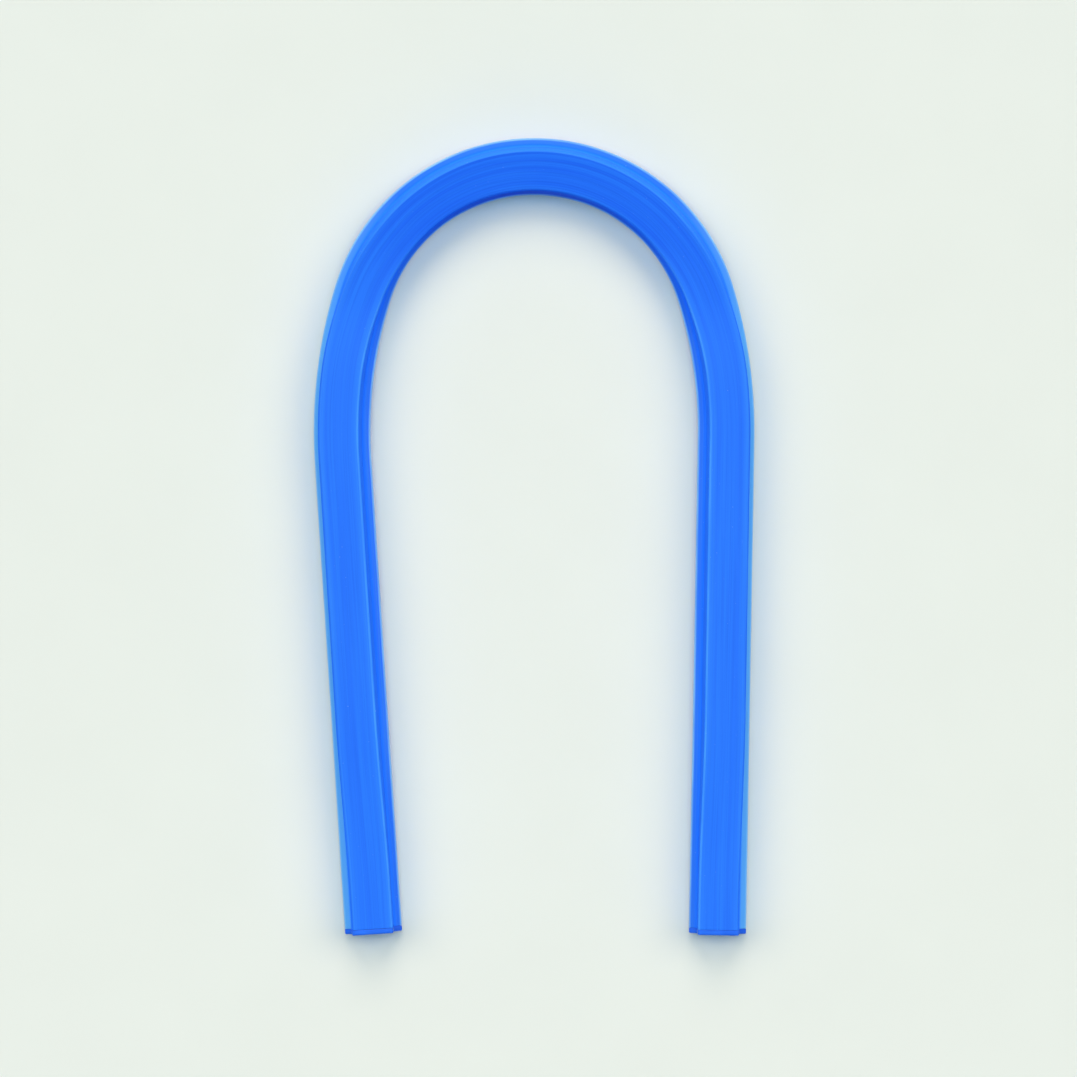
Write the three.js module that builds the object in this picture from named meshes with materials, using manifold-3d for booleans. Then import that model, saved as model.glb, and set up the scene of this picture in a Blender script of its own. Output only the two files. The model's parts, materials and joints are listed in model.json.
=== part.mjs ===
// A flexible drawing curve: a plastic strip with a soft lead bar and a spring-steel strip in its core,
// bent by hand into a U and lying flat. It is cut into links that turn on upright hinges, so it bends.
// Millimetres, +Z up. The origin is on the underside at the crown of the U, halfway along the strip;
// the legs of the U run towards -Y.
import * as THREE from "three";
import { mergeVertices } from "three/addons/utils/BufferGeometryUtils.js";
import Module from "manifold-3d";

const wasm = await Module();
wasm.setup();

// The bend: a round crown, then a shoulder of wider radius on each side, then two straight legs.
const stripLength = 400;
const crownRadius = 41.2;
const crownHalfTurn = THREE.MathUtils.degToRad(73);
const shoulderRadius = 108;
const leftShoulderTurn = THREE.MathUtils.degToRad(20.7);
const rightShoulderTurn = THREE.MathUtils.degToRad(18.0);

// The cross-section: a bar with a drawing ledge low down on each side.
const barWidth = 9.5;
const barHeight = 8.5;
const barEdgeRadius = 0.7;
const fullWidth = 13.1;
const ledgeUnderside = 1.0;
const ledgeTipThickness = 1.3;
const ledgeRootThickness = 2.2;

// The core: the lead bar and the steel strip side by side in one channel.
const leadWidth = 4.4;
const coreHeight = 4.4;
const steelThickness = 0.3;
const clearance = 0.3;
const channelWidth = leadWidth + steelThickness + 3 * clearance;
const channelHeight = coreHeight + 2 * clearance;

// The plug that closes each end: a flat head over the end face and a stem glued into the channel.
const plugHeadThickness = 1.2;
const plugStemLength = 6;
const plugStemClearance = 0.15;

// Hinges on each side of the crown: some on the crown, some on the shoulder, some on the leg.
const crownHinges = 5;
const shoulderHinges = 2;
const legHinges = 2;
const shoulderPitch = 19.5;

// A link ends in a round nose centred on its hinge, and the next link starts in a hollow around it.
const noseRadius = fullWidth / 2 + clearance;
const noseSegments = 32;

const turnPerStep = THREE.MathUtils.degToRad(3.5);
const edgeSegments = 3;
const smallestDetail = 0.02;
const crownHalfLength = crownRadius * crownHalfTurn;
const halfLength = stripLength / 2;

// The place, and the direction across the strip, at a distance along it from the crown.
// Distances are positive on the right-hand side of the U and negative on the left.
function stationAt(distance) {
  const side = distance < 0 ? -1 : 1;
  const shoulderTurn = side < 0 ? leftShoulderTurn : rightShoulderTurn;
  const shoulderLength = shoulderRadius * shoulderTurn;
  const run = Math.abs(distance);
  const onCrown = Math.min(run, crownHalfLength);
  const onShoulder = THREE.MathUtils.clamp(run - crownHalfLength, 0, shoulderLength);
  const onLeg = Math.max(run - crownHalfLength - shoulderLength, 0);
  const crownAngle = onCrown / crownRadius;
  const heading = crownAngle + onShoulder / shoulderRadius;
  const across =
    crownRadius * Math.sin(crownAngle) +
    shoulderRadius * (Math.sin(heading) - Math.sin(crownAngle)) +
    onLeg * Math.cos(heading);
  const down =
    crownRadius * (1 - Math.cos(crownAngle)) +
    shoulderRadius * (Math.cos(crownAngle) - Math.cos(heading)) +
    onLeg * Math.sin(heading);
  return {
    heading,
    place: new THREE.Vector2(side * across, -down),
    outward: new THREE.Vector2(side * Math.sin(heading), Math.cos(heading)),
  };
}

// The same geometry with only its positions, and one vertex at each point.
function joined(geometry) {
  geometry.deleteAttribute("normal");
  geometry.deleteAttribute("uv");
  return mergeVertices(geometry);
}

// A section drawn with x outward across the strip and y up, carried along the bent strip.
function sweep(section, from, to) {
  const startHeading = stationAt(from).heading * Math.sign(from);
  const stopHeading = stationAt(to).heading * Math.sign(to);
  const turn = stopHeading - startHeading;
  const geometry = new THREE.ExtrudeGeometry(section, {
    depth: to - from,
    steps: Math.max(1, Math.ceil(turn / turnPerStep)),
    curveSegments: edgeSegments,
    bevelEnabled: false,
  });
  const points = geometry.getAttribute("position");
  for (let i = 0; i < points.count; i += 1) {
    const height = points.getY(i);
    const station = stationAt(from + points.getZ(i));
    const place = station.place.addScaledVector(station.outward, points.getX(i));
    points.setXYZ(i, place.x, place.y, height);
  }
  return joined(geometry);
}

function rectangle(left, right, bottom, top) {
  return new THREE.Shape([
    new THREE.Vector2(left, bottom),
    new THREE.Vector2(right, bottom),
    new THREE.Vector2(right, top),
    new THREE.Vector2(left, top),
  ]);
}

// The outline of the plastic: up the outer side, over the rounded top edges, down the inner side.
function stripOutline() {
  const bar = barWidth / 2;
  const tip = fullWidth / 2;
  const shape = new THREE.Shape();
  shape.moveTo(-bar, 0);
  shape.lineTo(bar, 0);
  shape.lineTo(bar, ledgeUnderside);
  shape.lineTo(tip, ledgeUnderside);
  shape.lineTo(tip, ledgeUnderside + ledgeTipThickness);
  shape.lineTo(bar, ledgeUnderside + ledgeRootThickness);
  shape.absarc(bar - barEdgeRadius, barHeight - barEdgeRadius, barEdgeRadius, 0, Math.PI / 2);
  shape.absarc(-bar + barEdgeRadius, barHeight - barEdgeRadius, barEdgeRadius, Math.PI / 2, Math.PI);
  shape.lineTo(-bar, ledgeUnderside + ledgeRootThickness);
  shape.lineTo(-tip, ledgeUnderside + ledgeTipThickness);
  shape.lineTo(-tip, ledgeUnderside);
  shape.lineTo(-bar, ledgeUnderside);
  return shape;
}

// A core piece of the given height, centred on the height of the bar.
function coreSection(left, right, height) {
  return rectangle(left, right, (barHeight - height) / 2, (barHeight + height) / 2);
}

function coverSection() {
  const section = stripOutline();
  section.holes.push(coreSection(-channelWidth / 2, channelWidth / 2, channelHeight));
  return section;
}

function leadSection() {
  const left = -channelWidth / 2 + clearance;
  return coreSection(left, left + leadWidth, coreHeight);
}

function steelSection() {
  const right = channelWidth / 2 - clearance;
  return coreSection(right - steelThickness, right, coreHeight);
}

function solidFrom(geometry) {
  return new wasm.Manifold(
    new wasm.Mesh({
      numProp: 3,
      vertProperties: geometry.getAttribute("position").array,
      triVerts: new Uint32Array(geometry.getIndex().array),
    })
  );
}

function geometryFrom(solid) {
  const mesh = solid.simplify(smallestDetail).getMesh();
  const geometry = new THREE.BufferGeometry();
  geometry.setAttribute("position", new THREE.BufferAttribute(mesh.vertProperties, 3));
  geometry.setIndex(new THREE.BufferAttribute(mesh.triVerts, 1));
  return geometry;
}

// An upright cylinder centred on a hinge.
function uprightCylinder(hinge, radius) {
  const { place } = stationAt(hinge);
  const geometry = new THREE.CylinderGeometry(radius, radius, 3 * barHeight, noseSegments);
  geometry.rotateX(Math.PI / 2);
  geometry.translate(place.x, place.y, barHeight / 2);
  return solidFrom(joined(geometry));
}

// Everything past a hinge, on the side away from the crown, except the round nose centred on it.
function spacePastNose(hinge) {
  const block = rectangle(-fullWidth, fullWidth, -barHeight, 2 * barHeight);
  const far = hinge + Math.sign(hinge) * 2 * noseRadius;
  const beyond = sweep(block, Math.min(hinge, far), Math.max(hinge, far));
  return solidFrom(beyond).subtract(uprightCylinder(hinge, noseRadius));
}

// The space that a link leaves free for the nose of the link before it.
function spaceAroundNose(hinge) {
  const cornerRadius = (noseRadius + clearance) / Math.cos(Math.PI / noseSegments);
  return uprightCylinder(hinge, cornerRadius);
}

// One piece of a link between two hinges. At the end of a leg it stops flat, set back from the end.
function linkPiece(section, from, to, setBack) {
  const start = from <= -halfLength ? -halfLength + setBack : from - (from < 0 ? noseRadius : 0);
  const stop = to >= halfLength ? halfLength - setBack : to + (to > 0 ? noseRadius : 0);
  let solid = solidFrom(sweep(section, start, stop));
  const hinges = [from, to].filter((bound) => Math.abs(bound) < halfLength);
  for (const hinge of hinges) {
    const facesAwayFromCrown = (hinge === to) === (hinge > 0);
    solid = solid.subtract(facesAwayFromCrown ? spacePastNose(hinge) : spaceAroundNose(hinge));
  }
  return geometryFrom(solid);
}

// The plug at the end of one leg: the head has the outline of the strip.
function plugGeometry(side) {
  const stretch = (section, near, far) =>
    side < 0 ? sweep(section, -far, -near) : sweep(section, near, far);
  const stem = coreSection(
    -channelWidth / 2 + plugStemClearance,
    channelWidth / 2 - plugStemClearance,
    channelHeight - 2 * plugStemClearance
  );
  const headStart = halfLength - plugHeadThickness;
  const head = solidFrom(stretch(stripOutline(), headStart, halfLength));
  const stemStart = headStart - plugStemLength;
  const stemEnd = halfLength - plugHeadThickness / 2;
  return geometryFrom(head.add(solidFrom(stretch(stem, stemStart, stemEnd))));
}

// Distances of the hinges from the crown, from the middle link outwards.
function hingeDistances() {
  const crownPitch = crownHalfLength / (crownHinges - 0.5);
  const onCrown = Array.from({ length: crownHinges }, (_, i) => (i + 0.5) * crownPitch);
  const onShoulder = Array.from(
    { length: shoulderHinges },
    (_, i) => crownHalfLength + (i + 1) * shoulderPitch
  );
  const legStart = onShoulder[shoulderHinges - 1];
  const legPitch = (halfLength - legStart) / (legHinges + 1);
  const onLeg = Array.from({ length: legHinges }, (_, i) => legStart + (i + 1) * legPitch);
  return [...onCrown, ...onShoulder, ...onLeg];
}

const vinyl = new THREE.MeshStandardMaterial({ color: 0x2670ff, roughness: 0.3, metalness: 0 });
const lead = new THREE.MeshStandardMaterial({ color: 0x6f7278, roughness: 0.7, metalness: 0.8 });
const steel = new THREE.MeshStandardMaterial({ color: 0xa9adb3, roughness: 0.35, metalness: 1 });

function namedMesh(name, geometry, material) {
  geometry.computeVertexNormals();
  const mesh = new THREE.Mesh(geometry, material);
  mesh.name = name;
  return mesh;
}

// One link of the strip: a length of cover, lead bar and steel strip.
function link(suffix, from, to) {
  const coverSetBack = plugHeadThickness + clearance / 2;
  const coreSetBack = plugHeadThickness + plugStemLength + clearance;
  const cover = linkPiece(coverSection(), from, to, coverSetBack);
  const leadBar = linkPiece(leadSection(), from, to, coreSetBack);
  const steelStrip = linkPiece(steelSection(), from, to, coreSetBack);
  const group = new THREE.Group();
  group.add(namedMesh(`cover_${suffix}`, cover, vinyl));
  group.add(namedMesh(`lead_bar_${suffix}`, leadBar, lead));
  group.add(namedMesh(`steel_strip_${suffix}`, steelStrip, steel));
  return group;
}

const flexibleCurve = new THREE.Group();
const stops = [...hingeDistances(), halfLength];
flexibleCurve.add(link("middle", -stops[0], stops[0]));
for (let i = 1; i < stops.length; i += 1) {
  flexibleCurve.add(link(`left_${i}`, -stops[i], -stops[i - 1]));
  flexibleCurve.add(link(`right_${i}`, stops[i - 1], stops[i]));
}
flexibleCurve.add(namedMesh("end_plug_left", plugGeometry(-1), vinyl));
flexibleCurve.add(namedMesh("end_plug_right", plugGeometry(1), vinyl));

export default flexibleCurve;
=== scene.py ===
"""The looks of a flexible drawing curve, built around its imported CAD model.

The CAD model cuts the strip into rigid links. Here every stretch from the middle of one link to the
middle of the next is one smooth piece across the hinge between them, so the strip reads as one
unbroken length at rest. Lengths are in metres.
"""

import json
import math
from collections import namedtuple

import bmesh
import bpy
import numpy as np
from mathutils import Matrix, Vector
from mathutils.geometry import tessellate_polygon

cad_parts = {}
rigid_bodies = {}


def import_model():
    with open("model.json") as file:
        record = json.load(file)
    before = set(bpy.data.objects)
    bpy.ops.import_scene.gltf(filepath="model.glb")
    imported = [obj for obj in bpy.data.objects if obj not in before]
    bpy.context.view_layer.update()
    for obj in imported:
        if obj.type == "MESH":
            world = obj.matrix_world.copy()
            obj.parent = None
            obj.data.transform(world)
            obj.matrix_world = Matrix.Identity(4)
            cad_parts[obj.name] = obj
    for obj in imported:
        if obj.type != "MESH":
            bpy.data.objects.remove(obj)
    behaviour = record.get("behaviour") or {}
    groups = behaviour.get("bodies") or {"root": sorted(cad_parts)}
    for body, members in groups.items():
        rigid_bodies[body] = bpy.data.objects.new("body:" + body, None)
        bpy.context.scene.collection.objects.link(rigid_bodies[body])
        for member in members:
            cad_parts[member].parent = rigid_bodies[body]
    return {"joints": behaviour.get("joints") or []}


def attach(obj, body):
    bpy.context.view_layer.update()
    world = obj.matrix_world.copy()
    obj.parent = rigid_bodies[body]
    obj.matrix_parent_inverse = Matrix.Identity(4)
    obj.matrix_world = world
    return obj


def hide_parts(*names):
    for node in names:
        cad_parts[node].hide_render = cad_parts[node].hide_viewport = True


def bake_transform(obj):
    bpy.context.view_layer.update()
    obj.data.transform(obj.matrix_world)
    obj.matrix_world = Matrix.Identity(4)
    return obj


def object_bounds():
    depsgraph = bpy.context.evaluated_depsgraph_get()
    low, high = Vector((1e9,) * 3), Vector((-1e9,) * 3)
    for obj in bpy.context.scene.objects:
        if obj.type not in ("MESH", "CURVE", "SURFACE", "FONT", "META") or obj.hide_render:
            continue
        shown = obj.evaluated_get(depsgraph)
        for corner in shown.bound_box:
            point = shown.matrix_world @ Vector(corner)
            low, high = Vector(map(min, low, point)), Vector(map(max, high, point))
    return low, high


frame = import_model()
cad_low, cad_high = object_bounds()

MM = 0.001

# The bend of the strip's centreline, the same as the CAD model's.
STRIP_LENGTH = 400 * MM
CROWN_RADIUS = 41.2 * MM
CROWN_HALF_TURN = math.radians(73)
SHOULDER_RADIUS = 108 * MM
SHOULDER_TURN = {"left": math.radians(20.7), "right": math.radians(18.0)}

# The cross-section.
BAR_WIDTH = 9.5 * MM
BAR_HEIGHT = 8.5 * MM
FULL_WIDTH = 13.1 * MM
TOP_EDGE_RADIUS = 0.6 * MM
BOTTOM_EDGE_RADIUS = 0.5 * MM
LEDGE_UNDERSIDE = 1.0 * MM
LEDGE_TIP_THICKNESS = 1.3 * MM
LEDGE_ROOT_THICKNESS = 2.2 * MM
LEDGE_TIP_RADIUS = 0.45 * MM
LEDGE_FILLET = 0.4 * MM

# Fine lines that the extrusion die leaves along the top: how far outward each one is, and its depth.
DIE_LINES = (
    (-3.95 * MM, 0.020 * MM),
    (-3.45 * MM, 0.012 * MM),
    (-2.2 * MM, 0.010 * MM),
    (0.7 * MM, 0.008 * MM),
    (2.6 * MM, 0.012 * MM),
    (3.9 * MM, 0.018 * MM),
)
DIE_LINE_WIDTH = 0.16 * MM

# The core.
LEAD_WIDTH = 4.4 * MM
CORE_HEIGHT = 4.4 * MM
STEEL_THICKNESS = 0.3 * MM
CLEARANCE = 0.3 * MM
CHANNEL_WIDTH = LEAD_WIDTH + STEEL_THICKNESS + 3 * CLEARANCE
CHANNEL_HEIGHT = CORE_HEIGHT + 2 * CLEARANCE
CHANNEL_CORNER = 0.3 * MM
LEAD_CORNER = 0.35 * MM
STEEL_CORNER = 0.1 * MM

# The end plugs.
PLUG_HEAD = 1.2 * MM
PLUG_STEM = 6 * MM
PLUG_SEAM = 0.06 * MM
PLUG_STEM_CLEARANCE = 0.15 * MM
PLUG_EDGE_RADIUS = 0.3 * MM
PLUG_BACK_EDGE_RADIUS = 0.15 * MM
PLUG_EDGE_STEPS = 4

# Lengths between the rings of points along the strip, and between the points across its top.
CROWN_RING_SPACING = 0.6 * MM
LEG_RING_SPACING = 1.0 * MM
TOP_POINT_SPACING = 0.14 * MM

# Faces that meet at more than this angle are shaded as a real edge.
SHARP_ANGLE = math.radians(40)

# How the strip leans in its bent state: the top of the crown leans into the U, the legs lean out.
CROWN_ROLL = math.radians(10.5)
LEG_ROLL = math.radians(-6)
ROLL_CHANGES = (34 * MM, 72 * MM)
ROLL_FADES = (150 * MM, 190 * MM)
ROLL_PIVOT_HEIGHT = LEDGE_UNDERSIDE + LEDGE_TIP_THICKNESS / 2
ROLL_SOFTENING = 0.12 * MM

# How far a bend reaches along the strip on each side of its hinge, if the seam isn't nearer, and the
# extra room that keeps the section at each end of it clear of the turning part.
BEND_REACH = 9 * MM
SEAM_MARGIN = 0.02 * MM

HALF_LENGTH = STRIP_LENGTH / 2
CROWN_HALF_LENGTH = CROWN_RADIUS * CROWN_HALF_TURN


def smoothstep(low, high, value):
    """0 below low, 1 above high, and a smooth rise between them."""
    t = np.clip((value - low) / (high - low), 0, 1)
    return t * t * (3 - 2 * t)


def stations(distance):
    """Places and outward directions on the centreline, at signed distances from the crown."""
    distance = np.atleast_1d(np.asarray(distance, float))
    side = np.where(distance < 0, -1.0, 1.0)
    turn = np.where(distance < 0, SHOULDER_TURN["left"], SHOULDER_TURN["right"])
    run = np.abs(distance)
    on_crown = np.minimum(run, CROWN_HALF_LENGTH)
    on_shoulder = np.clip(run - CROWN_HALF_LENGTH, 0, SHOULDER_RADIUS * turn)
    on_leg = np.maximum(run - CROWN_HALF_LENGTH - SHOULDER_RADIUS * turn, 0)
    crown = on_crown / CROWN_RADIUS
    heading = crown + on_shoulder / SHOULDER_RADIUS
    across = CROWN_RADIUS * np.sin(crown)
    across += SHOULDER_RADIUS * (np.sin(heading) - np.sin(crown)) + on_leg * np.cos(heading)
    down = CROWN_RADIUS * (1 - np.cos(crown))
    down += SHOULDER_RADIUS * (np.cos(crown) - np.cos(heading)) + on_leg * np.sin(heading)
    place = np.stack([side * across, -down], 1)
    outward = np.stack([side * np.sin(heading), np.cos(heading)], 1)
    return place, outward


def roll(distance):
    """How far the section leans at a distance from the crown. Positive leans the top into the U."""
    run = np.abs(distance)
    lean = CROWN_ROLL + (LEG_ROLL - CROWN_ROLL) * smoothstep(*ROLL_CHANGES, run)
    return lean * (1 - smoothstep(*ROLL_FADES, run))


def on_strip(distance, section):
    """Points in the row frame for every section point (outward, up) at every distance."""
    place, outward = stations(distance)
    lean = roll(np.asarray(distance, float))[:, None]
    side = section[None, :, 0]
    up = section[None, :, 1] - ROLL_PIVOT_HEIGHT
    rolled_side = side * np.cos(lean) - up * np.sin(lean)
    rolled_up = side * np.sin(lean) + up * np.cos(lean) + ROLL_PIVOT_HEIGHT
    edge_drop = np.hypot(BAR_WIDTH / 2 * np.sin(lean), ROLL_SOFTENING)
    rolled_up += edge_drop - ROLL_PIVOT_HEIGHT * (1 - np.cos(lean))
    points = np.empty((len(place), len(section), 3))
    points[:, :, :2] = place[:, None] + rolled_side[:, :, None] * outward[:, None]
    points[:, :, 2] = rolled_up
    return points


def arc(centre, radius, start, end, steps):
    """Points on an arc between two angles in degrees."""
    angles = np.radians(np.linspace(start, end, steps + 1))
    return [(centre[0] + radius * math.cos(a), centre[1] + radius * math.sin(a)) for a in angles]


def die_line_depth(side):
    """How far the die lines lower the top at an outward place."""
    return sum(depth * math.exp(-(((side - at) / DIE_LINE_WIDTH) ** 2)) for at, depth in DIE_LINES)


def top_face():
    """The top from its outer rounded edge to its inner one, with the die lines."""
    reach = BAR_WIDTH / 2 - TOP_EDGE_RADIUS
    count = round(2 * reach / TOP_POINT_SPACING)
    sides = np.linspace(reach, -reach, count + 1)[1:-1]
    return [(side, BAR_HEIGHT - die_line_depth(side)) for side in sides]


def outer_side():
    """The outer side of the section, from the bottom edge over the ledge to the top edge."""
    bar = BAR_WIDTH / 2
    tip = FULL_WIDTH / 2
    slope = math.atan((LEDGE_ROOT_THICKNESS - LEDGE_TIP_THICKNESS) / (tip - bar))
    slope_degrees = math.degrees(slope)
    fillet_height = LEDGE_UNDERSIDE + LEDGE_ROOT_THICKNESS
    fillet_height += LEDGE_FILLET * (1 / math.cos(slope) - math.tan(slope))
    tip_side = tip - LEDGE_TIP_RADIUS
    tip_low = LEDGE_UNDERSIDE + LEDGE_TIP_RADIUS
    tip_high = LEDGE_UNDERSIDE + LEDGE_TIP_THICKNESS - LEDGE_TIP_RADIUS
    under_fillet = LEDGE_FILLET / 2
    points = arc((bar - BOTTOM_EDGE_RADIUS, BOTTOM_EDGE_RADIUS), BOTTOM_EDGE_RADIUS, -90, 0, 6)
    points += arc((bar + under_fillet, LEDGE_UNDERSIDE - under_fillet), under_fillet, 180, 90, 4)
    points += arc((tip_side, tip_low), LEDGE_TIP_RADIUS, -90, 0, 6)
    points += arc((tip_side, tip_high), LEDGE_TIP_RADIUS, 0, 90 - slope_degrees, 5)
    points += arc((bar + LEDGE_FILLET, fillet_height), LEDGE_FILLET, 270 - slope_degrees, 180, 5)
    top = BAR_HEIGHT - TOP_EDGE_RADIUS
    points += arc((bar - TOP_EDGE_RADIUS, top), TOP_EDGE_RADIUS, 0, 90, 10)
    return points


def strip_outline():
    """The whole outline, anticlockwise with outward to the right and up to the top."""
    outer = outer_side()
    inner = [(-side, up) for side, up in reversed(outer)]
    return np.array(outer + top_face() + inner)


def rectangle(left, right, height, radius):
    """A core piece's section, centred on the height of the bar, with slightly rounded corners."""
    low = (BAR_HEIGHT - height) / 2 + radius
    high = (BAR_HEIGHT + height) / 2 - radius
    points = arc((right - radius, low), radius, -90, 0, 2)
    points += arc((right - radius, high), radius, 0, 90, 2)
    points += arc((left + radius, high), radius, 90, 180, 2)
    points += arc((left + radius, low), radius, 180, 270, 2)
    return np.array(points)


def channel_section():
    """The channel through the strip, which holds the core."""
    return rectangle(-CHANNEL_WIDTH / 2, CHANNEL_WIDTH / 2, CHANNEL_HEIGHT, CHANNEL_CORNER)


def lead_section():
    """The lead bar, on the inner side of the channel."""
    left = -CHANNEL_WIDTH / 2 + CLEARANCE
    return rectangle(left, left + LEAD_WIDTH, CORE_HEIGHT, LEAD_CORNER)


def steel_section():
    """The steel strip, on the outer side of the channel."""
    right = CHANNEL_WIDTH / 2 - CLEARANCE
    return rectangle(right - STEEL_THICKNESS, right, CORE_HEIGHT, STEEL_CORNER)


def spaced(start, end):
    """Distances along the strip, closer together where it is bent tightly."""
    on_crown = min(abs(start), abs(end)) < CROWN_HALF_LENGTH
    spacing = CROWN_RING_SPACING if on_crown else LEG_RING_SPACING
    return np.linspace(start, end, max(2, round(abs(end - start) / spacing) + 1))


class Shell:
    """Collects the points and faces of one closed piece, with each point's place in the straight strip."""

    def __init__(self):
        self.points = []
        self.straight = []
        self.faces = []

    def ring(self, distance, section):
        """Adds one ring of points and returns their numbers."""
        first = len(self.points)
        self.points.extend(map(tuple, on_strip([distance], section)[0]))
        self.straight.extend((distance, side, up) for side, up in section)
        return list(range(first, first + len(section)))

    def wall(self, near, far):
        """Joins two rings of equal length with quads."""
        count = len(near)
        for i in range(count):
            j = (i + 1) % count
            self.faces.append((near[i], near[j], far[j], far[i]))

    def cap(self, rings, flip):
        """Fills one ring, or the band between an outer and an inner ring."""
        numbers = [n for ring in rings for n in ring]
        flat = [[Vector((*self.straight[n][1:], 0)) for n in ring] for ring in rings]
        for a, b, c in tessellate_polygon(flat):
            face = (numbers[a], numbers[b], numbers[c])
            self.faces.append(face[::-1] if flip else face)

    def build(self, name, material):
        """Makes the mesh object, smooth except at its real edges."""
        mesh = bpy.data.meshes.new(name)
        mesh.from_pydata(self.points, [], self.faces)
        place = mesh.attributes.new("straight", "FLOAT_VECTOR", "POINT")
        place.data.foreach_set("vector", np.array(self.straight, np.float32).ravel())
        mesh.materials.append(material)
        mesh.update()
        piece = bpy.data.objects.new(name, mesh)
        bpy.context.scene.collection.objects.link(piece)
        recalculate_outside(mesh)
        mesh.shade_smooth()
        mesh.set_sharp_from_angle(angle=SHARP_ANGLE)
        return piece


def recalculate_outside(mesh):
    """Turns every face of a closed mesh to face out."""
    work = bmesh.new()
    work.from_mesh(mesh)
    bmesh.ops.recalc_face_normals(work, faces=work.faces)
    work.to_mesh(mesh)
    work.free()


def loft(name, outline, hole, distances, material):
    """A length of strip with this outline, and a channel through it if there is a hole."""
    shell = Shell()
    outer = [shell.ring(d, outline) for d in distances]
    for near, far in zip(outer, outer[1:]):
        shell.wall(near, far)
    ends = [[outer[0]], [outer[-1]]]
    if hole is not None:
        inner = [shell.ring(d, hole) for d in distances]
        for near, far in zip(inner, inner[1:]):
            shell.wall(far, near)
        ends[0].append(inner[0])
        ends[1].append(inner[-1])
    shell.cap(ends[0], True)
    shell.cap(ends[1], False)
    return shell.build(name, material)


# Materials. Every pattern is laid out in the straight strip, so that it follows the bend.

# The vinyl's tints, from its deepest to its palest. Several are painted shade, painted light and painted
# highlights, marked where they are laid on.
VINYL_PAINTED_SHADE = (0.004, 0.1, 0.85)
VINYL_STREAK = (0.0045, 0.102, 0.88)
VINYL_DEEP = (0.0075, 0.121, 0.96)
VINYL_CROWN_LEDGE = (0.012, 0.17, 1.0)
VINYL_MIDDLE = (0.0135, 0.173, 1.0)
VINYL_CLOUD = (0.016, 0.18, 1.0)
VINYL_LEG_PAINTED_LIGHT = (0.022, 0.2, 1.0)
VINYL_PAINTED_OUTER_LIGHT = (0.03, 0.235, 1.0)
VINYL_LEG_STREAKS_AND_SHEEN = (0.036, 0.27, 1.0)
VINYL_LEG_EDGE_HIGHLIGHT = (0.055, 0.31, 1.0)
VINYL_SCUFF = (0.08, 0.3, 1.0)
VINYL_LEG_LEDGE_LIGHT = (0.1, 0.42, 1.0)
VINYL_RIM_HIGHLIGHT = (0.26, 0.58, 1.0)
VINYL_SPECK = (0.3, 0.5, 1.0)
VINYL_GLOW = (0.0, 0.05, 1.0)

# The distances from the crown between which its looks give way to those of the legs.
LEG_LOOKS_RISE = (30 * MM, 65 * MM)

# Two tints for each of the other materials.
PLUG_TINTS = ((0.01, 0.12, 0.86), (0.018, 0.155, 0.96))
LEAD_TINTS = ((0.13, 0.135, 0.15), (0.3, 0.31, 0.33))
STEEL_TINTS = ((0.52, 0.54, 0.57), (0.42, 0.4, 0.36))
FLOOR_TINTS = ((0.765, 0.785, 0.785), (0.79, 0.81, 0.81))


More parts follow.
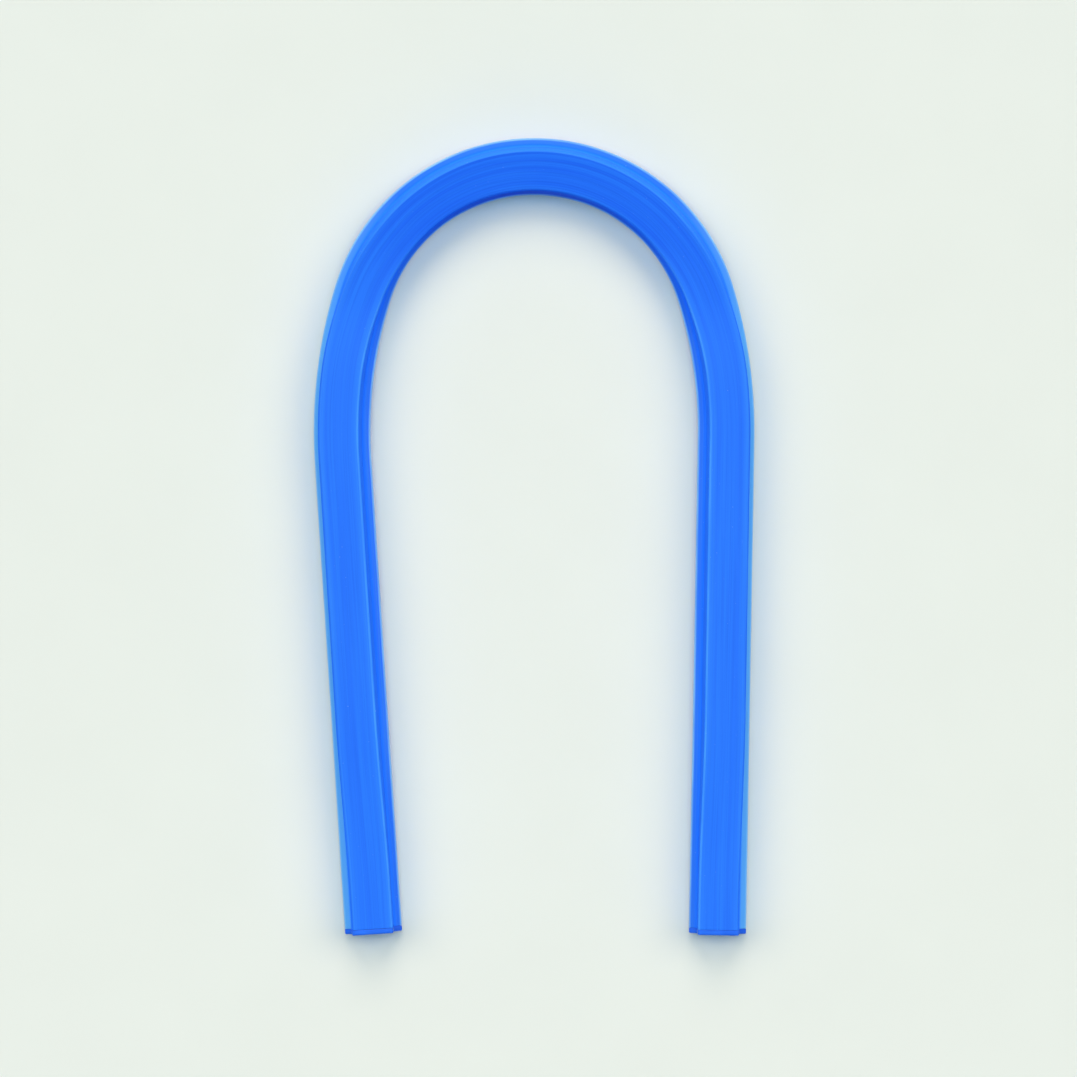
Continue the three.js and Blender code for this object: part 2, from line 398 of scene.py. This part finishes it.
class Surface:
    """A new node material, with a method for each step that its patterns are built from. Shares are
    values from 0 to 1."""

    def __init__(self, name):
        self.material = bpy.data.materials.new(name)
        self.material.use_nodes = True
        self.tree = self.material.node_tree
        self.shader = self.tree.nodes["Principled BSDF"]

    def add(self, kind, **settings):
        """Adds a node."""
        node = self.tree.nodes.new(kind)
        for key, value in settings.items():
            setattr(node, key, value)
        return node

    def link(self, source, target):
        """Links an output to an input, which may be given as the name of one of the shader's inputs."""
        if isinstance(target, str):
            target = self.shader.inputs[target]
        self.tree.links.new(source, target)

    def pattern(self, lengths, detail=2.0, roughness=0.5, shift=(0, 0, 0)):
        """Noise whose features have these lengths along, across and up the straight strip."""
        place = self.add("ShaderNodeAttribute", attribute_name="straight")
        scaled = self.add("ShaderNodeMapping")
        scaled.inputs["Scale"].default_value = [1 / length for length in lengths]
        scaled.inputs["Location"].default_value = shift
        noise = self.add("ShaderNodeTexNoise")
        noise.inputs["Scale"].default_value = 1.0
        noise.inputs["Detail"].default_value = detail
        noise.inputs["Roughness"].default_value = roughness
        self.link(place.outputs["Vector"], scaled.inputs["Vector"])
        self.link(scaled.outputs["Vector"], noise.inputs["Vector"])
        return noise.outputs["Fac"]

    def remapped(self, value, from_low, from_high, to_low, to_high):
        """A value moved from one range to another, and kept inside it."""
        mapping = self.add("ShaderNodeMapRange", clamp=True)
        numbers = (from_low, from_high, to_low, to_high)
        for key, number in zip(("From Min", "From Max", "To Min", "To Max"), numbers):
            mapping.inputs[key].default_value = number
        self.link(value, mapping.inputs["Value"])
        return mapping.outputs["Result"]

    def mixed(self, share, first, second):
        """A colour between two others. Each may be a colour or a node's output."""
        mix = self.add("ShaderNodeMix", data_type="RGBA")
        self.link(share, mix.inputs["Factor"])
        for socket, colour in ((mix.inputs[6], first), (mix.inputs[7], second)):
            if isinstance(colour, tuple):
                socket.default_value = (*colour, 1)
            else:
                self.link(colour, socket)
        return mix.outputs[2]

    def between(self, share, first, second):
        """A value that goes from a node's output to a number."""
        mix = self.add("ShaderNodeMix", data_type="FLOAT")
        self.link(share, mix.inputs["Factor"])
        self.link(first, mix.inputs[2])
        mix.inputs[3].default_value = second
        return mix.outputs[0]

    def product(self, *shares):
        """Shares multiplied together."""
        result = shares[0]
        for share in shares[1:]:
            times = self.add("ShaderNodeMath", operation="MULTIPLY")
            self.link(result, times.inputs[0])
            self.link(share, times.inputs[1])
            result = times.outputs[0]
        return result

    def bumped(self, height, strength, depth, onto=None):
        """A normal bumped by a height pattern, on top of another bump if there is one."""
        bump = self.add("ShaderNodeBump")
        bump.inputs["Strength"].default_value = strength
        bump.inputs["Distance"].default_value = depth
        self.link(height, bump.inputs["Height"])
        if onto is not None:
            self.link(onto, bump.inputs["Normal"])
        return bump.outputs["Normal"]

    def strip_places(self):
        """Every point's distance from the crown, its distance from the centreline, its outward place and
        its height, in the straight strip."""
        place = self.add("ShaderNodeAttribute", attribute_name="straight")
        parts = self.add("ShaderNodeSeparateXYZ")
        self.link(place.outputs["Vector"], parts.inputs["Vector"])
        sizes = []
        for axis in "XY":
            size = self.add("ShaderNodeMath", operation="ABSOLUTE")
            self.link(parts.outputs[axis], size.inputs[0])
            sizes.append(size.outputs[0])
        return sizes[0], sizes[1], parts.outputs["Y"], parts.outputs["Z"]


def vinyl_zones(surface, fine):
    """Shares that say where on the strip each tint lies. Those at the edges fade in and out along it."""
    along, across, outward, up = surface.strip_places()
    zone = surface.remapped
    both = surface.product
    side = BAR_WIDTH / 2
    tip = FULL_WIDTH / 2
    runs = zone(surface.pattern((14 * MM, 3 * MM, 3 * MM), detail=2, shift=(6, 2, 5)), 0.35, 0.65, 0.6, 1)
    lines = zone(fine, 0.42, 0.6, 0.1, 0.5)

    # Halves of the strip: the crown or the legs, and its outer or inner side.
    leg = zone(along, *LEG_LOOKS_RISE, 0, 1)
    crown = zone(leg, 0, 1, 1, 0.35)
    outer_half = zone(outward, 0, 1 * MM, 0, 1)
    inner_half = zone(outward, -1 * MM, 0, 1, 0)
    towards_outside = zone(outward, 0, side, 0, 1)

    # Bands across the section, outward from its middle: the top edge, the flank and the ledge.
    edge_side = zone(across, side - 0.6 * MM, side - 0.4 * MM, 0, 1)
    edge_top = zone(up, BAR_HEIGHT - 0.4 * MM, BAR_HEIGHT - 0.2 * MM, 0, 1)
    edge = both(edge_side, edge_top, runs)
    ledge = zone(across, side + 0.1 * MM, side + 0.5 * MM, 0, 1)
    beside_edge = zone(across, side - 1.9 * MM, side - 0.8 * MM, 0, 1)
    outer_flank = zone(outward, side - 0.7 * MM, side, 0, 1)
    flank_top = zone(across, side - 0.4 * MM, side - 0.1 * MM, 0, 1)
    flank_foot = zone(across, side + 0.4 * MM, side + 0.8 * MM, 1, 0)
    rim_highlight = zone(across, tip - 0.45 * MM, tip - 0.1 * MM, 0, 1)
    # Most of the shares below place painted light, painted shade and painted highlights.
    return {
        # Painted light: the legs a little paler than the crown, as they catch more light.
        "leg": zone(leg, 0, 1, 0, 0.35),
        # Painted light: the outer flank and ledge paler where the light falls on them, most at the crown.
        "outer_flank_light": both(outer_flank, crown),
        "crown_ledge": both(ledge, crown, outer_half),
        # Paler streaks beside the top edges of the legs, partly painted sheen beside the edge highlights.
        "leg_streaks_and_sheen": both(beside_edge, lines, leg),
        # Painted highlight: a paler line along the outer top edge.
        "outer_edge_highlight": both(edge, towards_outside),
        # Painted highlight: a paler line along the inner top edge of the legs.
        "leg_inner_edge_highlight": both(edge, leg, inner_half),
        # Painted shade: a darker line along the outer top edge of the legs, where it meets the ledge.
        "leg_outer_edge_shade": both(edge, leg, zone(outward, 0, 1 * MM, 0, 0.55)),
        # Painted light: the outer ledge of the legs paler, where light falls on it.
        "leg_ledge_light": both(ledge, leg, outer_half),
        # Painted highlight: a thin pale line along the tips of the ledges.
        "rim_highlight": both(rim_highlight, runs),
        "flank": both(flank_top, flank_foot),
    }


def vinyl_material():
    """Blue extruded vinyl: a soft satin with fine streaks along the strip, painted highlights along its
    edges, and painted light and shade on its flanks and ledges.
    """
    surface = Surface("blue_vinyl")
    share = surface.remapped
    broad = surface.pattern((90 * MM, 1.1 * MM, 1.6 * MM), detail=3)
    fine = surface.pattern((35 * MM, 0.28 * MM, 0.4 * MM), detail=3, shift=(3, 1, 2))
    cloud = surface.pattern((26 * MM, 12 * MM, 12 * MM), detail=2, shift=(7, 5, 1))
    scuffs = surface.pattern((1.6 * MM, 0.22 * MM, 0.22 * MM), detail=1, shift=(2, 8, 4))
    specks = surface.pattern((0.35 * MM, 0.35 * MM, 0.35 * MM), detail=0, shift=(9, 4, 6))
    zones = vinyl_zones(surface, fine)

    colour = surface.mixed(share(broad, 0.35, 0.65, 0, 1), VINYL_DEEP, VINYL_MIDDLE)
    tints = (
        (share(cloud, 0.35, 0.65, 0, 0.4), VINYL_CLOUD),
        (share(fine, 0.42, 0.66, 0, 0.7), VINYL_STREAK),
        # Painted light: the legs a little paler than the crown.
        (zones["leg"], VINYL_LEG_PAINTED_LIGHT),
        # Painted light: the outer flank and ledge paler where the light falls on them, most at the crown.
        (zones["outer_flank_light"], VINYL_PAINTED_OUTER_LIGHT),
        (zones["crown_ledge"], VINYL_CROWN_LEDGE),
        # Paler streaks beside the top edges of the legs, partly painted sheen beside the edge highlights.
        (zones["leg_streaks_and_sheen"], VINYL_LEG_STREAKS_AND_SHEEN),
        # Painted highlight: a paler line along the outer top edge.
        (zones["outer_edge_highlight"], VINYL_PAINTED_OUTER_LIGHT),
        # Painted highlight: a paler line along the inner top edge of the legs.
        (zones["leg_inner_edge_highlight"], VINYL_LEG_EDGE_HIGHLIGHT),
        # Painted shade: a darker line along the outer top edge of the legs, where it meets the ledge.
        (zones["leg_outer_edge_shade"], VINYL_PAINTED_SHADE),
        # Painted light: the outer ledge of the legs paler, where light falls on it.
        (zones["leg_ledge_light"], VINYL_LEG_LEDGE_LIGHT),
        # Painted highlight: a thin pale line along the tips of the ledges.
        (zones["rim_highlight"], VINYL_RIM_HIGHLIGHT),
        (share(scuffs, 0.78, 0.84, 0, 0.25), VINYL_SCUFF),
        (share(specks, 0.86, 0.9, 0, 0.5), VINYL_SPECK),
    )
    for amount, tint in tints:
        colour = surface.mixed(amount, colour, tint)
    surface.link(colour, "Base Color")

    # The flanks are duller, and a weak glow on them stands in for light scattered inside the vinyl.
    roughness = surface.between(zones["flank"], share(fine, 0.3, 0.7, 0.36, 0.5), 0.8)
    surface.link(roughness, "Roughness")
    surface.link(share(zones["flank"], 0, 1, 0.18, 0.04), "Specular IOR Level")
    surface.link(share(zones["flank"], 0, 1, 0, 0.15), "Emission Strength")
    surface.shader.inputs["Emission Color"].default_value = (*VINYL_GLOW, 1)

    normal = surface.bumped(broad, 0.35, 0.05 * MM)
    normal = surface.bumped(fine, 0.2, 0.02 * MM, normal)
    surface.link(surface.bumped(cloud, 0.2, 0.3 * MM, normal), "Normal")
    return surface.material


def plug_material():
    """The same blue, moulded: slightly deeper and with a fine even grain."""
    surface = Surface("moulded_vinyl")
    grain = surface.pattern((0.25 * MM, 0.25 * MM, 0.25 * MM), detail=3)
    cloud = surface.pattern((4 * MM, 4 * MM, 4 * MM), detail=2, shift=(4, 2, 9))
    share = surface.remapped(cloud, 0.35, 0.65, 0, 1)
    surface.link(surface.mixed(share, *PLUG_TINTS), "Base Color")
    surface.link(surface.remapped(grain, 0.3, 0.7, 0.36, 0.5), "Roughness")
    surface.link(surface.bumped(grain, 0.25, 0.03 * MM), "Normal")
    surface.shader.inputs["Specular IOR Level"].default_value = 0.22
    return surface.material


def lead_material():
    """Dull lead with a blotchy oxide skin and rolling marks along the bar."""
    surface = Surface("lead")
    oxide = surface.pattern((3 * MM, 1.5 * MM, 1.5 * MM), detail=4, roughness=0.6)
    rolling = surface.pattern((20 * MM, 0.2 * MM, 0.2 * MM), detail=2, shift=(1, 6, 3))
    share = surface.remapped(oxide, 0.35, 0.65, 0, 1)
    surface.link(surface.mixed(share, *LEAD_TINTS), "Base Color")
    surface.link(surface.remapped(oxide, 0.3, 0.7, 0.75, 0.5), "Roughness")
    surface.shader.inputs["Metallic"].default_value = 0.85
    normal = surface.bumped(rolling, 0.3, 0.04 * MM)
    surface.link(surface.bumped(oxide, 0.3, 0.05 * MM, normal), "Normal")
    return surface.material


def steel_material():
    """Cold-rolled spring steel with a brushed grain along the strip and a faint temper colour."""
    surface = Surface("spring_steel")
    grain = surface.pattern((30 * MM, 0.08 * MM, 0.08 * MM), detail=3)
    temper = surface.pattern((15 * MM, 3 * MM, 3 * MM), detail=2, shift=(5, 3, 8))
    share = surface.remapped(temper, 0.4, 0.65, 0, 0.5)
    surface.link(surface.mixed(share, *STEEL_TINTS), "Base Color")
    surface.link(surface.remapped(grain, 0.3, 0.7, 0.22, 0.4), "Roughness")
    surface.shader.inputs["Metallic"].default_value = 1.0
    surface.link(surface.bumped(grain, 0.2, 0.01 * MM), "Normal")
    return surface.material


def floor_material():
    """A matt, very slightly cloudy pale surface."""
    surface = Surface("pale_floor")
    coordinates = surface.add("ShaderNodeTexCoord")
    noise = surface.add("ShaderNodeTexNoise")
    noise.inputs["Scale"].default_value = 40.0
    surface.link(coordinates.outputs["Object"], noise.inputs["Vector"])
    surface.link(surface.mixed(noise.outputs["Fac"], *FLOOR_TINTS), "Base Color")
    surface.shader.inputs["Roughness"].default_value = 0.8
    surface.shader.inputs["Specular IOR Level"].default_value = 0.2
    return surface.material


# The hinges of the CAD model, and the seams halfway between them.

BISECTION_STEPS = 50


def distance_of(joint):
    """How far along the strip from the crown a hinge is. A point's place gets lower all the way down a
    leg, so the search keeps halving the stretch that the hinge lies in."""
    across, along, _ = joint["pos_m"]
    side = math.copysign(1, across)
    near, far = 0.0, HALF_LENGTH
    for _ in range(BISECTION_STEPS):
        middle = (near + far) / 2
        if stations(side * middle)[0][0, 1] > along:
            near = middle
        else:
            far = middle
    return side * near


def hinges_on(side):
    """The hinges on one side of the U, from the crown outwards, as (distance, parent, child)."""
    found = [
        (distance_of(joint), joint["parent"], joint["child"])
        for joint in frame["joints"]
        if math.copysign(1, joint["pos_m"][0]) == side
    ]
    return sorted(found, key=lambda hinge: abs(hinge[0]))


def seam_point(distance):
    """The centre of a seam, as a point in the row frame."""
    place, _ = stations(distance)
    return np.array([*place[0], BAR_HEIGHT / 2])


def blend_ends(near, far):
    """Two points on the centreline that bound the stretch around a hinge, between two distances along the
    strip. Each is moved in a little, so that the whole section at that distance stays on its own body."""
    start, end = seam_point(near), seam_point(far)
    along = (end - start) / np.linalg.norm(end - start)
    reach = []
    for distance in (near, far):
        _, outward = stations(distance)
        reach.append(abs(along[:2] @ outward[0]) * FULL_WIDTH / 2 + SEAM_MARGIN)
    return tuple(start + along * reach[0]), tuple(end - along * reach[1])


OUTLINE = strip_outline()
CHANNEL = channel_section()
CORE_SET_BACK = PLUG_HEAD + PLUG_STEM + CLEARANCE

# One layer of the strip: how it is named and finished, the CAD nodes that it replaces, its section and
# the hole in it, and how far from the end of a leg it stops.
Layer = namedtuple("Layer", "name material slot node outline hole set_back")
LAYERS = (
    Layer("vinyl_strip", vinyl_material(), "blue_vinyl", "cover", OUTLINE, CHANNEL, PLUG_HEAD + PLUG_SEAM),
    Layer("lead_core", lead_material(), "lead", "lead_bar", lead_section(), None, CORE_SET_BACK),
    Layer("spring_steel", steel_material(), "spring_steel", "steel_strip", steel_section(), None,
          CORE_SET_BACK),
)


def replaced_nodes(layer, side, word, number):
    """The CAD nodes that a piece stands for. The first pieces of both sides share the middle link, and
    the right one stands for it."""
    nodes = [f"{layer.node}_{word}_{number}"]
    if number == 1 and side > 0:
        nodes.append(f"{layer.node}_middle")
    return nodes


def strip_pieces(side, word):
    """Every layer of the strip on one side of the U, one piece for each hinge. Returns the last body."""
    hinges = hinges_on(side)
    distances = [hinge[0] for hinge in hinges] + [side * HALF_LENGTH]
    seams = [0.0] + [(a + b) / 2 for a, b in zip(distances, distances[1:])]
    for number, (hinge, parent, child) in enumerate(hinges, 1):
        near, far = seams[number - 1], seams[number]
        is_last = number == len(hinges)
        bend_near = side * max(abs(near), abs(hinge) - BEND_REACH)
        bend_far = side * min(abs(far), abs(hinge) + BEND_REACH)
        start, end = blend_ends(bend_near, bend_far)
        for layer in LAYERS:
            name = f"{layer.name}_{word}_{number}"
            stop = side * (HALF_LENGTH - layer.set_back) if is_last else far
            piece = loft(name, layer.outline, layer.hole, spaced(near, stop), layer.material)
            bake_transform(piece)
            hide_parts(*replaced_nodes(layer, side, word, number))
    return hinges[-1][2]


def inset(section, amount):
    """The section drawn in by an amount along its own normals."""
    before = np.roll(section, 1, axis=0)
    after = np.roll(section, -1, axis=0)
    along = after - before
    normal = np.stack([along[:, 1], -along[:, 0]], 1)
    normal /= np.linalg.norm(normal, axis=1)[:, None]
    return section - normal * amount


def end_plug(side, word, body, material):
    """A moulded plug: a head with softened edges over the end face, and a stem in the channel."""
    shell = Shell()
    back = HALF_LENGTH - PLUG_HEAD
    rings = []
    for angle in np.linspace(0, math.pi / 2, PLUG_EDGE_STEPS + 1):
        place = back + PLUG_BACK_EDGE_RADIUS * (1 - math.cos(angle))
        drawn_in = PLUG_BACK_EDGE_RADIUS * (1 - math.sin(angle))
        rings.append(shell.ring(side * place, inset(OUTLINE, drawn_in)))
    for angle in np.linspace(0, math.pi / 2, PLUG_EDGE_STEPS + 1):
        place = HALF_LENGTH - PLUG_EDGE_RADIUS * (1 - math.sin(angle))
        drawn_in = PLUG_EDGE_RADIUS * (1 - math.cos(angle))
        rings.append(shell.ring(side * place, inset(OUTLINE, drawn_in)))
    for near, far in zip(rings, rings[1:]):
        shell.wall(near, far)
    stem = inset(CHANNEL, PLUG_STEM_CLEARANCE)
    stem_rings = [shell.ring(side * place, stem) for place in (back, back - PLUG_STEM)]
    shell.wall(*stem_rings)
    shell.cap([rings[0], stem_rings[0]], True)
    shell.cap([stem_rings[1]], True)
    shell.cap([rings[-1]], False)
    piece = shell.build(f"plug_{word}", material)
    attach(piece, body)
    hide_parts(f"end_plug_{word}")


# The studio.

FLOOR_HALF_SIZE = 4.0
WARM_LIGHT = (1.0, 0.88, 0.745)
COOL_LIGHT = (0.3, 0.73, 0.82)
FRONT_LIGHT = (1.0, 0.95, 0.9)
SKY_COLOUR = (0.8, 0.9, 1.0)
SKY_STRENGTH = 0.07
BACKDROP_COLOUR = (0.8, 0.86, 0.82)
LENS = 180
SENSOR = 36

# How much wider the camera's view is than the object is long, and how far its middle is moved.
VIEW_MARGIN = 1.346
VIEW_SHIFT = Vector((1.0, -0.5, 0)) * MM


def floor():
    """A plain pale floor, far larger than the object."""
    size = FLOOR_HALF_SIZE
    mesh = bpy.data.meshes.new("floor")
    corners = [(-size, -size, 0), (size, -size, 0), (size, size, 0), (-size, size, 0)]
    mesh.from_pydata(corners, [], [(0, 1, 2, 3)])
    mesh.materials.append(floor_material())
    plane = bpy.data.objects.new("floor", mesh)
    bpy.context.scene.collection.objects.link(plane)


def soft_sun(name, heading, height, spread, strength, colour):
    """Even light from a wide patch of sky, given by its compass heading, its height and its width."""
    lamp = bpy.data.lights.new(name, "SUN")
    lamp.energy = strength
    lamp.angle = math.radians(spread)
    lamp.color = colour
    turn = math.radians(heading)
    level = math.cos(math.radians(height))
    up = math.sin(math.radians(height))
    towards = Vector((level * math.sin(turn), level * math.cos(turn), up))
    holder = bpy.data.objects.new(name, lamp)
    holder.rotation_euler = towards.to_track_quat("Z", "Y").to_euler()
    bpy.context.scene.collection.objects.link(holder)


def sky():
    """A dim cool sky that lights the scene, and a pale backdrop that only the camera sees."""
    world = bpy.data.worlds.new("studio")
    world.use_nodes = True
    tree = world.node_tree
    light = tree.nodes["Background"]
    light.inputs["Color"].default_value = (*SKY_COLOUR, 1)
    light.inputs["Strength"].default_value = SKY_STRENGTH
    backdrop = tree.nodes.new("ShaderNodeBackground")
    backdrop.inputs["Color"].default_value = (*BACKDROP_COLOUR, 1)
    rays = tree.nodes.new("ShaderNodeLightPath")
    mix = tree.nodes.new("ShaderNodeMixShader")
    tree.links.new(rays.outputs["Is Camera Ray"], mix.inputs["Fac"])
    tree.links.new(light.outputs["Background"], mix.inputs[1])
    tree.links.new(backdrop.outputs["Background"], mix.inputs[2])
    tree.links.new(mix.outputs["Shader"], tree.nodes["World Output"].inputs["Surface"])
    bpy.context.scene.world = world


def studio():
    """Soft warm light from beyond the crown and from both sides, and cool light from straight above."""
    soft_sun("key", heading=0, height=40, spread=36, strength=1.37, colour=WARM_LIGHT)
    soft_sun("left", heading=-65, height=46, spread=40, strength=1.27, colour=WARM_LIGHT)
    soft_sun("right", heading=65, height=46, spread=40, strength=1.27, colour=WARM_LIGHT)
    soft_sun("front", heading=180, height=15, spread=50, strength=0.4, colour=FRONT_LIGHT)
    soft_sun("overhead", heading=0, height=90, spread=40, strength=1.05, colour=COOL_LIGHT)
    sky()


def camera(centre, length):
    """Straight above the object, with the crown at the top and the whole strip in view."""
    lens_data = bpy.data.cameras.new("camera")
    lens_data.lens = LENS
    lens_data.sensor_width = SENSOR
    lens_data.clip_start = 0.01
    holder = bpy.data.objects.new("camera", lens_data)
    height = BAR_HEIGHT + VIEW_MARGIN * length * LENS / SENSOR
    holder.location = Vector((*centre[:2], height)) + VIEW_SHIFT
    bpy.context.scene.collection.objects.link(holder)
    bpy.context.scene.camera = holder


plug_vinyl = plug_material()
for side, word in ((1, "right"), (-1, "left")):
    last_body = strip_pieces(side, word)
    end_plug(side, word, last_body, plug_vinyl)

middle = (cad_low + cad_high) / 2
floor()
studio()
camera(middle, cad_high[1] - cad_low[1])
bpy.context.scene.view_settings.view_transform = "Standard"
